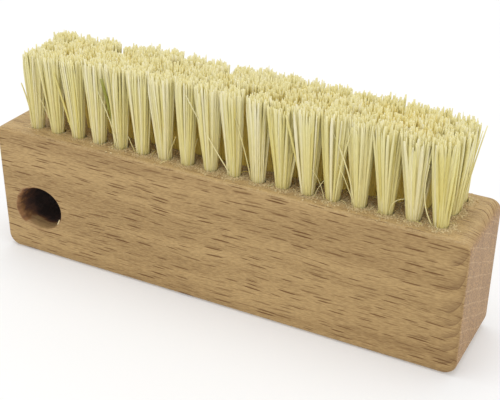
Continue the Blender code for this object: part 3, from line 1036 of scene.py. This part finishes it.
def fibre_finish():
    """Stiff undyed plant fibre with a satin gloss and fine streaks, painted yellow deep inside where
    light comes through other fibres.
    """
    material, tree, shader = new_finish("plant_fibre", roughness=0.6, specular_ior_level=0.2)
    tone = tone_ramp(tree, attribute(tree, "tint"), FIBRE_TONES)
    along = attribute(tree, "along")
    # Painted shade: darker towards the root.
    colour = mix_colour(tree, remap(tree, along, 0.9, 0.3), tone, PAINTED_ROOT_SHADE, "MULTIPLY")
    # Creamier tips: paler cut ends, and painted light on the top of the brush.
    near_tip = remap(tree, along, 0.72, 0.95, 0.0, CREAM_AND_LIGHT_SHARE)
    colour = mix_colour(tree, near_tip, colour, TIP_CREAM_AND_LIGHT)
    place = add(tree, "TexCoord").outputs["Object"]
    axes = add(tree, "SeparateXYZ", {"Vector": place}).outputs
    distances = {"end": math_node(tree, "ABSOLUTE", axes["X"]),
                 "side": math_node(tree, "ABSOLUTE", axes["Y"]), "along": along}
    # Painted filtered light: fibres deep inside the brush turn yellow.
    inside = 1.0
    for way, distance in distances.items():
        this_way = remap(tree, distance, OUTER_FIBRES[way], INNER_FIBRES[way])
        inside = math_node(tree, "MULTIPLY", inside, this_way)
    colour = mix_colour(tree, inside, colour, PAINTED_FILTERED_LIGHT)
    streaks = noise_in_space(tree, place, FIBRE_STREAKS)
    streaky = brightened(tree, colour, remap(tree, streaks, 0.3, 0.7, 0.92, 1.05))
    tree.links.new(streaky, shader.inputs["Base Color"])
    bump = add(tree, "Bump", {"Height": streaks, "Strength": 0.3, "Distance": STREAK_DEPTH})
    tree.links.new(bump.outputs["Normal"], shader.inputs["Normal"])
    return material


fibre = fibre_finish()
print("fibre finish,", len(fibre.node_tree.nodes), "nodes")

# %% [markdown]
# Hair particles could make the tufts, but a mesh is what every other program reads. All the
# fibres of a tuft are one array: for each fibre a path of eight places, and round each place
# six points, with a cap at both ends. The first place is the root on the hole's floor, and
# the other seven lie at shares of the height from the top of the wood to the tip.

# %% Surface of a bundle of fibres
SIDES = 6
HEIGHT_SHARES = np.array([0.0, 0.22, 0.45, 0.68, 0.83, 0.93, 1.0])
CAP = np.array([[0, 1, 2, 3], [0, 3, 4, 5]])


def unit(vectors):
    """The vectors at length one."""
    return vectors / np.linalg.norm(vectors, axis=-1, keepdims=True)


def fibre_surface(path, width, flatness, broadside):
    """Six points round each place of each path, closed by a cap at both ends.

    Along the path runs its tangent. Across it lie two directions: one square to the tangent
    and to the fibre's broadside vector, and one square to the first two. Point j is the place
    plus half the width times cos a of the first and flatness sin a of the second, where a is
    60 degrees times j.
    """
    count, places = width.shape
    a = np.arange(SIDES) * (2 * math.pi / SIDES)
    tangent = unit(np.gradient(path, axis=1))
    first = unit(np.cross(tangent, np.broadcast_to(broadside[:, None], tangent.shape)))
    second = np.cross(tangent, first)
    wide = width[:, :, None, None] / 2 * np.cos(a)[:, None]
    thin = width[:, :, None, None] / 2 * np.sin(a)[:, None] * flatness[:, None, None, None]
    points = path[:, :, None] + wide * first[:, :, None] + thin * second[:, :, None]
    wall = grid_quads(places, SIDES, ring=True).reshape(-1, 4)
    one = np.concatenate([wall, CAP[:, ::-1], CAP + (places - 1) * SIDES])
    quads = one + (np.arange(count) * places * SIDES)[:, None, None]
    return points.reshape(-1, 3), quads.reshape(-1, 4)


def sideways(angle):
    """Level unit vectors at these angles."""
    return np.stack([np.cos(angle), np.sin(angle), np.zeros_like(angle)], axis=1)


def fibre_mesh(name, path, width, flatness, broadside, tint):
    """The mesh of a bundle, with each fibre's tint and the share of its height stored."""
    points, quads = fibre_surface(path, width, flatness, broadside)
    mesh = mesh_of(name, points, quads)
    per_fibre = path.shape[1] * SIDES
    rise = np.clip((points[:, 2] - HEIGHT) / (cad_high[2] - HEIGHT), 0, 1)
    store(mesh, "tint", np.repeat(tint, per_fibre))
    store(mesh, "along", rise)
    return mesh


print(len(HEIGHT_SHARES) + 1, "places on the path of a fibre,", SIDES, "points round each")

# %% [markdown]
# The brush was trimmed by hand. The tufts are tallest in the middle of the brush and lower
# at its two ends, and the first one in front is rounded off. This holds for all fibres, so
# it is worked out from the place of their tips alone.

# %% Trim of the brush
TRIM_MIDDLE = 17.3 * MM
TRIM_END_DROP = 1.2 * MM
ROUNDED_CORNER = 2.4 * MM
ROUNDED_OVER = 3.2 * MM
ROUNDED_HALF_DEPTH = 4 * MM


def trim_height(x, y):
    """Height of the ends above the wood: a flat arch along the brush.

    The arch is the middle height less the drop times the square of x over half the length.
    Past the middle of the first front tuft the trim is rounded off.
    """
    arch = TRIM_MIDDLE - TRIM_END_DROP * (2 * x / LENGTH) ** 2
    past_first = smooth_step(-x, -first_x, ROUNDED_OVER - first_x)
    in_front = smooth_step(-y, -ROUNDED_HALF_DEPTH, ROUNDED_HALF_DEPTH)
    return arch - ROUNDED_CORNER * (past_first * in_front)


trimmed = trim_height(np.array([first_x, 0, last_x]), 0)
print("trim above the wood at the left, in the middle and at the right, mm:",
      (trimmed / MM).round(1))

# %% [markdown]
# The roots fill the hole in a sunflower pattern: root k of n has the radius
# R ((k + 0.5) / n)^0.44 and the angle k times 137.5 degrees. The power 0.5 would pack the
# disc evenly, and 0.44 packs it a little denser outside, which gives a tuft a full rim. All
# roots are pressed a little to the left. A tip is its root drawn a little to the nearest of
# eleven locks, because fibres cling together, and pushed outwards by the spread. There is
# some chance in it, and more for a few that stray. From the top of the wood to the tip the
# path is straight, apart from a slight bow that grows as 4 t (1 - t).
#
# Within a tuft the outer ends stand lower, because they lean out, so its top is a low dome.
# The ends are uneven, and a few of them stand proud, those that bow most to the right.

# %% Paths of a tuft's fibres
FIBRES_IN_TUFT = 140
ROOT_RADIUS = 1.18 * MM
GOLDEN_ANGLE = math.pi * (3 - math.sqrt(5))
SUNFLOWER_POWER = 0.44
ROOT_CHANCE = 0.04 * MM
ROOTS_LEFT = 0.20 * MM
BURIED_SHARE = 0.9
LOCKS_IN_TUFT = 11
LOCK_PULL = 0.12
CHANCE_AT_LEFT = 0.18 * MM
CHANCE_AT_RIGHT = 0.36 * MM
STRAY_SHARE = 0.04
STRAY_REACH = 0.8 * MM
SIDE_LIMIT = DEPTH / 2 - 0.3 * MM
BOW = 0.10 * MM
DOME = 0.35 * MM
TUFT_UNEVEN = 0.14 * MM
UNEVEN_AT_LEFT = 0.50 * MM
UNEVEN_AT_RIGHT = 0.85 * MM
RAISED_SHARE = 0.35
PROUD_BY = 0.7 * MM
PROUD_BOWS = (0.10 * MM, 0.18 * MM)
HIGHEST = cad_high[2] - 0.1 * MM


def sunflower(count, radius, turn):
    """Places that fill a disc, a little denser outside, and their distances from its middle."""
    k = np.arange(count)
    reach = radius * ((k + 0.5) / count) ** SUNFLOWER_POWER
    return reach[:, None] * sideways(k * GOLDEN_ANGLE + turn)[:, :2], reach


def tuft_paths(foot, lean, lowered, spread, random):
    """Paths of all fibres of a tuft, from the floor of its hole to their tips."""
    root, reach = sunflower(FIBRES_IN_TUFT, ROOT_RADIUS, random.uniform(0, 2 * math.pi))
    locks, _ = sunflower(LOCKS_IN_TUFT, ROOT_RADIUS, random.uniform(0, 2 * math.pi))
    nearest_lock = np.linalg.norm(root[:, None] - locks, axis=2).argmin(axis=1)
    root += random.normal(0, ROOT_CHANCE, root.shape)
    to_right = smooth_step(foot[0], first_x, last_x)
    stray = (random.random(len(root)) < STRAY_SHARE)[:, None]
    pulled = root * (1 - LOCK_PULL) + locks[nearest_lock] * LOCK_PULL
    chance = CHANCE_AT_LEFT + (CHANCE_AT_RIGHT - CHANCE_AT_LEFT) * to_right
    tip = pulled * spread + random.normal(0, chance, root.shape)
    tip += stray * random.normal(0, STRAY_REACH, root.shape) + lean
    root -= (ROOTS_LEFT, 0)
    tip[:, 1] = np.clip(tip[:, 1], -SIDE_LIMIT - foot[1], SIDE_LIMIT - foot[1])
    bow = random.normal(0, BOW, root.shape)
    height = trim_height(*(tip + foot[:2]).T) - DOME * (reach / ROOT_RADIUS) ** 2
    uneven = UNEVEN_AT_LEFT + (UNEVEN_AT_RIGHT - UNEVEN_AT_LEFT) * to_right
    height += random.normal(0, TUFT_UNEVEN) - np.abs(random.normal(0, uneven, len(root)))
    height += PROUD_BY * smooth_step(bow[:, 0], *PROUD_BOWS)
    height = np.minimum(height + uneven * RAISED_SHARE - lowered, HIGHEST - HEIGHT)
    t = HEIGHT_SHARES[None, :, None]
    flat = root[:, None] * (1 - t) + tip[:, None] * t + bow[:, None] * 4 * t * (1 - t)
    rise = HEIGHT + height[:, None] * HEIGHT_SHARES
    open_part = np.concatenate([flat, rise[..., None]], axis=-1)
    buried = np.column_stack([root * BURIED_SHARE, np.full(len(root), foot[2])])[:, None]
    path = np.concatenate([buried, open_part], axis=1)
    path[..., :2] += foot[:2]
    return path


print("no end higher than", round((HIGHEST - HEIGHT) / MM, 1), "mm above the wood")

# %% [markdown]
# A fibre grows a little wider up the stem. At the left of the brush the ends are cut blunt,
# at the right many come to a point. So the width of a tip, as a share of its fibre's, lies
# at random between two shares that change along the brush.

# %% Widths of a tuft's fibres
WIDTH_AT_LEFT = 0.44 * MM
WIDTH_AT_RIGHT = 0.50 * MM
WIDTH_SPREAD = 0.09 * MM
THINNEST_FIBRE = 0.28 * MM
THICKEST_FIBRE = 0.70 * MM
WIDTH_SHARES = np.array([0.75, 0.8, 0.9, 1.0, 1.1, 1.15, 1.05, 0.9])
TIP_SHARES_AT_LEFT = np.array([0.35, 1.0])
TIP_SHARES_AT_RIGHT = np.array([0.10, 0.9])
NECK_SHARE = 0.45


def tuft_widths(to_right, random):
    """Width of each fibre at each place: it grows up the stem, then is cut blunt or to a point.

    The last place is narrowed to the tip's share, and the one before it part of the way.
    """
    usual = WIDTH_AT_LEFT + (WIDTH_AT_RIGHT - WIDTH_AT_LEFT) * to_right
    width = random.normal(usual, WIDTH_SPREAD, FIBRES_IN_TUFT).clip(THINNEST_FIBRE, THICKEST_FIBRE)
    low, high = TIP_SHARES_AT_LEFT + (TIP_SHARES_AT_RIGHT - TIP_SHARES_AT_LEFT) * to_right
    tip_share = random.uniform(low, high, FIBRES_IN_TUFT)
    profile = np.tile(WIDTH_SHARES, (FIBRES_IN_TUFT, 1))
    profile[:, -2] *= 1 - NECK_SHARE * (1 - tip_share)
    profile[:, -1] *= tip_share
    return width[:, None] * profile


print("fibres from", round(THINNEST_FIBRE / MM, 2), "to", round(THICKEST_FIBRE / MM, 2), "mm wide")

# %% [markdown]
# No two tufts are alike. Each leans a little its own way. On top of that the front row leans
# to the left and the back row to the right, the tufts at both ends lean in, and some of the
# back row lean apart, so that notches open between them. Some spread less than the others.
# The back row is trimmed lower, most so at the right, and two tufts of the front row are cut
# low. The fibres in the middle of a tuft get darker, yellower tints than the outer ones, a
# painted shade for the light that they lose inside the bundle.

# %% Tufts
FLATNESS = (0.6, 0.95)
SPREAD_CHANCE = (0.93, 1.08)
TIP_SPREAD = {"front": 2.12, "middle": 2.45, "back": 2.15}
LESS_SPREAD = {
    ("front", 10): 0.8, ("front", 18): 0.85, ("middle", 18): 0.85, ("back", 18): 0.85,
    ("back", 4): 0.85, ("back", 7): 0.9, ("back", 8): 0.9, ("back", 9): 0.8,
}
TUFT_LEAN = 0.22 * MM
TIPS_LEFT = {"front": 0.40 * MM, "middle": 0.10 * MM, "back": -0.30 * MM}
EXTRA_LEANS = {
    ("middle", 17): 0.1 * MM, ("middle", 18): -0.3 * MM,
    ("back", 17): -0.3 * MM, ("back", 18): -0.8 * MM,
    ("front", 17): -0.2 * MM, ("front", 18): -0.5 * MM,
    ("front", 1): 0.5 * MM, ("middle", 1): 0.5 * MM, ("back", 1): 0.1 * MM,
    ("back", 2): -0.3 * MM, ("back", 4): 0.9 * MM, ("back", 7): 0.4 * MM, ("back", 9): 1.0 * MM,
}
LOW_TUFTS = {("front", 11): 0.8 * MM, ("front", 12): 0.9 * MM}
ROWS_LOWERED = {"front": 0.0, "middle": 0.1 * MM, "back": 0.65 * MM}
LOWERED_AT_LEFT = 0.4
SHADED_INNER_TINT = 0.38
LIT_OUTER_TINT = 0.80
TINT_CHANCE = 0.18
TUFT_TINT_CHANCE = 0.06
LEAST_TINT = 0.10


def make_tuft(row, number, random):
    """One tuft, which stands for the node of the same name."""
    name = tuft_name(row, number)
    lean = random.normal(0, TUFT_LEAN, 2)
    lean[0] += EXTRA_LEANS.get((row, number), 0) - TIPS_LEFT[row]
    spread = TIP_SPREAD[row] * LESS_SPREAD.get((row, number), 1) * random.uniform(*SPREAD_CHANCE)
    to_right = (number - 1) / (TUFTS_IN_ROW - 1)
    row_lowered = ROWS_LOWERED[row] * (LOWERED_AT_LEFT + (1 - LOWERED_AT_LEFT) * to_right)
    lowered = LOW_TUFTS.get((row, number), 0) + row_lowered
    path = tuft_paths(feet[name], lean, lowered, spread, random)
    width = tuft_widths(to_right, random)
    flatness = random.uniform(*FLATNESS, FIBRES_IN_TUFT)
    broadside = sideways(random.uniform(0, math.pi, FIBRES_IN_TUFT))
    # Painted shade: tints run from darker in the middle of a tuft to paler outside.
    outer = (np.arange(FIBRES_IN_TUFT) + 0.5) / FIBRES_IN_TUFT
    tint = random.normal(SHADED_INNER_TINT + (LIT_OUTER_TINT - SHADED_INNER_TINT) * outer, TINT_CHANCE)
    tint = np.clip(tint + random.normal(0, TUFT_TINT_CHANCE), LEAST_TINT, 1)
    mesh = fibre_mesh(f"fibres_{row}_{number:02d}", path, width, flatness, broadside, tint)
    tuft = place_piece(mesh.name, mesh, fibre)
    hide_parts(name)
    return tuft


random = np.random.default_rng(23)
tufts = [make_tuft(row, number, random) for row in ROWS for number in range(1, TUFTS_IN_ROW + 1)]
print(len(tufts), "tufts,", sum(len(tuft.data.polygons) for tuft in tufts), "faces")

# %% [markdown]
# A few fibres keep apart from their tufts, and the eye goes to them first, so they are placed
# one by one. Each is a quadratic Bezier curve from a foot in the wood to a tip: at the share t
# it lies at (1 - t)^2 foot + 2 t (1 - t) bend + t^2 tip. The points below are the foot, the
# bend and the tip of each, and its width and tint come in the same order. The broad one is
# a green stem. Finer hairs lie on the wood, curled the same way between two ends, more of
# them to the right.

# %% Stray fibres and lying hairs
STRAY_POINTS = np.array([
    [[-42.9, -6.3, 27.3], [-43.1, -6.7, 32.5], [-44.7, -6.9, 37.0]],
    [[3.2, -6.6, 27.3], [-1.1, -7.6, 34.0], [-6.2, -7.5, 42.4]],
    [[27.6, -6.6, 27.3], [27.2, -7.3, 34.5], [22.5, -7.3, 42.3]],
    [[23.9, -6.6, 27.3], [24.4, -7.1, 34.5], [26.2, -7.0, 41.4]],
    [[27.7, -6.6, 27.3], [27.0, -7.0, 30.5], [23.6, -6.9, 36.6]],
    [[42.3, -6.4, 27.2], [39.3, -6.9, 31.5], [40.6, -6.7, 39.0]],
    [[44.7, 1.0, 27.3], [45.3, 2.0, 34.0], [47.1, 3.0, 43.8]],
    [[44.6, 0.4, 27.3], [45.4, 1.3, 35.0], [46.6, 2.4, 43.0]],
    [[-18.4, -6.3, 27.3], [-18.5, -7.0, 28.6], [-19.6, -6.9, 30.9]],
    [[-5.7, -5.6, 27.3], [-5.9, -5.6, 31.0], [-4.9, -5.5, 33.1]],
    [[-11.0, -6.2, 27.3], [-10.9, -6.2, 29.4], [-9.3, -6.0, 32.8]],
    [[-23.4, -5.0, 27.3], [-23.2, -6.4, 33.5], [-24.7, -7.7, 42.0]],
    [[-22.2, -6.9, 27.3], [-22.7, -7.2, 33.0], [-26.9, -7.0, 40.5]],
    [[-37.4, -6.5, 27.3], [-38.2, -7.0, 31.0], [-40.7, -7.0, 35.6]],
    [[6.8, -6.1, 27.3], [6.2, -6.9, 33.0], [3.6, -7.0, 40.4]],
    [[21.9, -6.7, 27.3], [21.4, -7.0, 31.2], [19.1, -6.9, 33.3]],
    [[19.7, -6.6, 27.3], [20.3, -6.9, 29.4], [21.8, -6.9, 31.6]],
    [[34.2, -6.5, 27.3], [34.1, -7.0, 31.0], [36.8, -6.8, 31.6]],
]) * MM
STRAY_WIDTHS = np.array([0.36, 0.30, 0.32, 0.34, 0.20, 0.26, 0.32, 0.30, 0.16,
                         0.16, 0.18, 0.85, 0.27, 0.20, 0.24, 0.13, 0.13, 0.16]) * MM
STRAY_TINTS = np.array([0.70, 0.95, 0.90, 0.80, 0.85, 0.90, 0.80, 0.60, 0.80,
                        0.80, 0.75, 0.00, 0.90, 0.90, 0.85, 0.90, 0.90, 0.90])
STRAY_FLATNESS = (0.7, 0.95)
STRAY_TIP_SHARE = 0.75
CURVE_PLACES = 9
DUST_AT_LEFT = 0.06
LYING_HAIRS = 44
HAIR_WIDTH = 0.11 * MM
HAIR_LENGTH = 1.7 * MM
HAIR_LENGTH_SHARES = (0.5, 1.4)
HAIR_REACH = 0.4 * MM
HAIR_CURL = 0.35 * MM
HAIR_RISE = (0.1 * MM, 0.9 * MM)
HAIR_TINTS = (0.4, 1.0)


def bent_paths(foot, bend, tip):
    """Quadratic Bezier curves through three points each."""
    t = np.linspace(0, 1, CURVE_PLACES)[None, :, None]
    foot, bend, tip = (place[:, None] for place in (foot, bend, tip))
    return (1 - t) ** 2 * foot + 2 * t * (1 - t) * bend + t ** 2 * tip


def dusty_places(count, reach, random):
    """Places on top of the wood round the feet of the tufts, more of them to the right.

    Each lies outside the rim of a hole, farther by a random distance that is at most three
    times the reach and mostly within it.
    """
    foot_places = np.array([foot[:2] for foot in feet.values()])
    to_right = smooth_step(foot_places[:, 0], first_x, last_x)
    chance = DUST_AT_LEFT + (1 - DUST_AT_LEFT) * to_right
    near = random.choice(len(foot_places), count, p=chance / chance.sum())
    away = HOLE_RADIUS + np.minimum(np.abs(random.normal(0, reach, count)), 3 * reach)
    around = sideways(random.uniform(0, 2 * math.pi, count))
    level = foot_places[near] + away[:, None] * around[:, :2]
    return np.column_stack([level, np.full(count, HEIGHT)])


def make_strays(random):
    """The fibres that keep apart, as one piece."""
    path = bent_paths(*np.moveaxis(STRAY_POINTS, 1, 0))
    narrowing = np.linspace(1.0, STRAY_TIP_SHARE, CURVE_PLACES)
    broadside = sideways(random.uniform(0, math.pi, len(path)))
    flatness = random.uniform(*STRAY_FLATNESS, len(path))
    width = STRAY_WIDTHS[:, None] * narrowing
    mesh = fibre_mesh("stray_fibres", path, width, flatness, broadside, STRAY_TINTS)
    return place_piece(mesh.name, mesh, fibre)


def make_lying_hairs(random):
    """Fine curled hairs on the wood, as one piece."""
    middle = dusty_places(LYING_HAIRS, HAIR_REACH, random)
    length = random.uniform(*HAIR_LENGTH_SHARES, LYING_HAIRS)[:, None] * HAIR_LENGTH / 2
    along = sideways(random.uniform(0, math.pi, LYING_HAIRS)) * length
    aside = random.normal(0, HAIR_CURL, (LYING_HAIRS, 3))
    aside[:, 2] = random.uniform(*HAIR_RISE, LYING_HAIRS)
    lift = np.array([0, 0, HAIR_WIDTH / 2])
    path = bent_paths(middle - along + lift, middle + aside, middle + along + lift)
    width = np.full(path.shape[:2], HAIR_WIDTH)
    upright = np.broadcast_to([0.0, 0.0, 1.0], (LYING_HAIRS, 3))
    tint = random.uniform(*HAIR_TINTS, LYING_HAIRS)
    mesh = fibre_mesh("lying_hairs", path, width, np.ones(LYING_HAIRS), upright, tint)
    return place_piece(mesh.name, mesh, fibre)


strays = make_strays(random)
hairs = make_lying_hairs(random)
stray_faces = len(strays.data.polygons) + len(hairs.data.polygons)
print(len(STRAY_POINTS), "stray fibres and", LYING_HAIRS, "lying hairs,", stray_faces, "faces")

# %% [markdown]
# Nobody swept this brush. Crumbs of wood and of fibre lie round the feet of the tufts, thick
# at the right end and thin at the left. A crumb is a box whose eight points were each pushed
# a little, so that no two are alike. All of them are one piece.
#
# The drill also tore up a pale splinter, at the lower right of the bore's mouth. It is bent
# like the stray fibres, flat against the lip, and has the crumbs' finish.

# %% Dust and splinter
CRUMBS = 12000
CRUMB_HALF = np.array([0.110, 0.110, 0.077]) * MM
CRUMB_SIZES = (0.35, 1.5)
CORNER_PUSHES = (0.6, 1.2)
CRUMB_RISE = 0.6
CRUMB_REACH = 0.80 * MM
CRUMB_CORNERS = np.array(list(np.ndindex(2, 2, 2))) * 2 - 1
CRUMB_QUADS = np.array([[0, 1, 3, 2], [4, 6, 7, 5], [0, 4, 5, 1],
                        [2, 3, 7, 6], [0, 2, 6, 4], [1, 5, 7, 3]])
CRUMB_TONES = ((0.780, 0.650, 0.380), (0.480, 0.340, 0.170))
CRUMB_TINT_POWER = 1.3
CRUMB_SPECKS = (9000, 9000, 9000)
SPLINTER = np.array([[-36.5, -9.2, 7.9], [-36.15, -9.35, 8.5], [-35.9, -9.25, 9.2]]) * MM
SPLINTER_WIDTHS = np.linspace(0.42, 0.22, CURVE_PLACES) * MM
SPLINTER_FLATNESS = 0.5


def crumb_finish():
    """Dull dust, each crumb somewhere between fibre yellow and wood brown."""
    material, tree, shader = new_finish("crumbs", roughness=0.95, specular_ior_level=0.1)
    place = add(tree, "TexCoord").outputs["Object"]
    specks = noise_in_space(tree, place, CRUMB_SPECKS)
    colour = mix_colour(tree, attribute(tree, "tint"), *CRUMB_TONES)
    speckled = brightened(tree, colour, remap(tree, specks, 0.3, 0.7, 0.8, 1.1))
    tree.links.new(speckled, shader.inputs["Base Color"])
    return material


def make_crumbs(random):
    """All crumbs as one piece, each sunk into the dust below it by a fifth of its height."""
    middle = dusty_places(CRUMBS, CRUMB_REACH, random)
    half = random.uniform(*CRUMB_SIZES, (CRUMBS, 3)) * CRUMB_HALF
    per_crumb = len(CRUMB_CORNERS)
    pushes = random.uniform(*CORNER_PUSHES, (CRUMBS, per_crumb, 3))
    x, y, z = np.moveaxis(CRUMB_CORNERS * half[:, None] * pushes, -1, 0)
    turn = random.uniform(0, math.pi, CRUMBS)[:, None]
    cos, sin = np.cos(turn), np.sin(turn)
    up = z + half[:, 2:] * CRUMB_RISE
    points = middle[:, None] + np.stack([x * cos - y * sin, x * sin + y * cos, up], axis=-1)
    quads = CRUMB_QUADS + (np.arange(CRUMBS) * per_crumb)[:, None, None]
    mesh = mesh_of("crumbs", points.reshape(-1, 3), quads.reshape(-1, 4))
    mesh.shade_flat()
    tint = random.uniform(0, 1, CRUMBS) ** CRUMB_TINT_POWER
    store(mesh, "tint", np.repeat(tint, per_crumb))
    return place_piece(mesh.name, mesh, dust)


def make_splinter():
    """The splinter as one bent, tapering fibre that lies broad side to the front."""
    path = bent_paths(*SPLINTER[:, None])
    broadside = np.array([[0.0, 1.0, 0.0]])
    flatness = np.array([SPLINTER_FLATNESS])
    mesh = fibre_mesh("splinter", path, SPLINTER_WIDTHS[None], flatness, broadside, np.zeros(1))
    return place_piece(mesh.name, mesh, dust)


dust = crumb_finish()
crumbs = make_crumbs(random)
splinter = make_splinter()
print(CRUMBS, "crumbs,", len(crumbs.data.polygons), "faces")
print("splinter,", len(splinter.data.polygons), "faces")
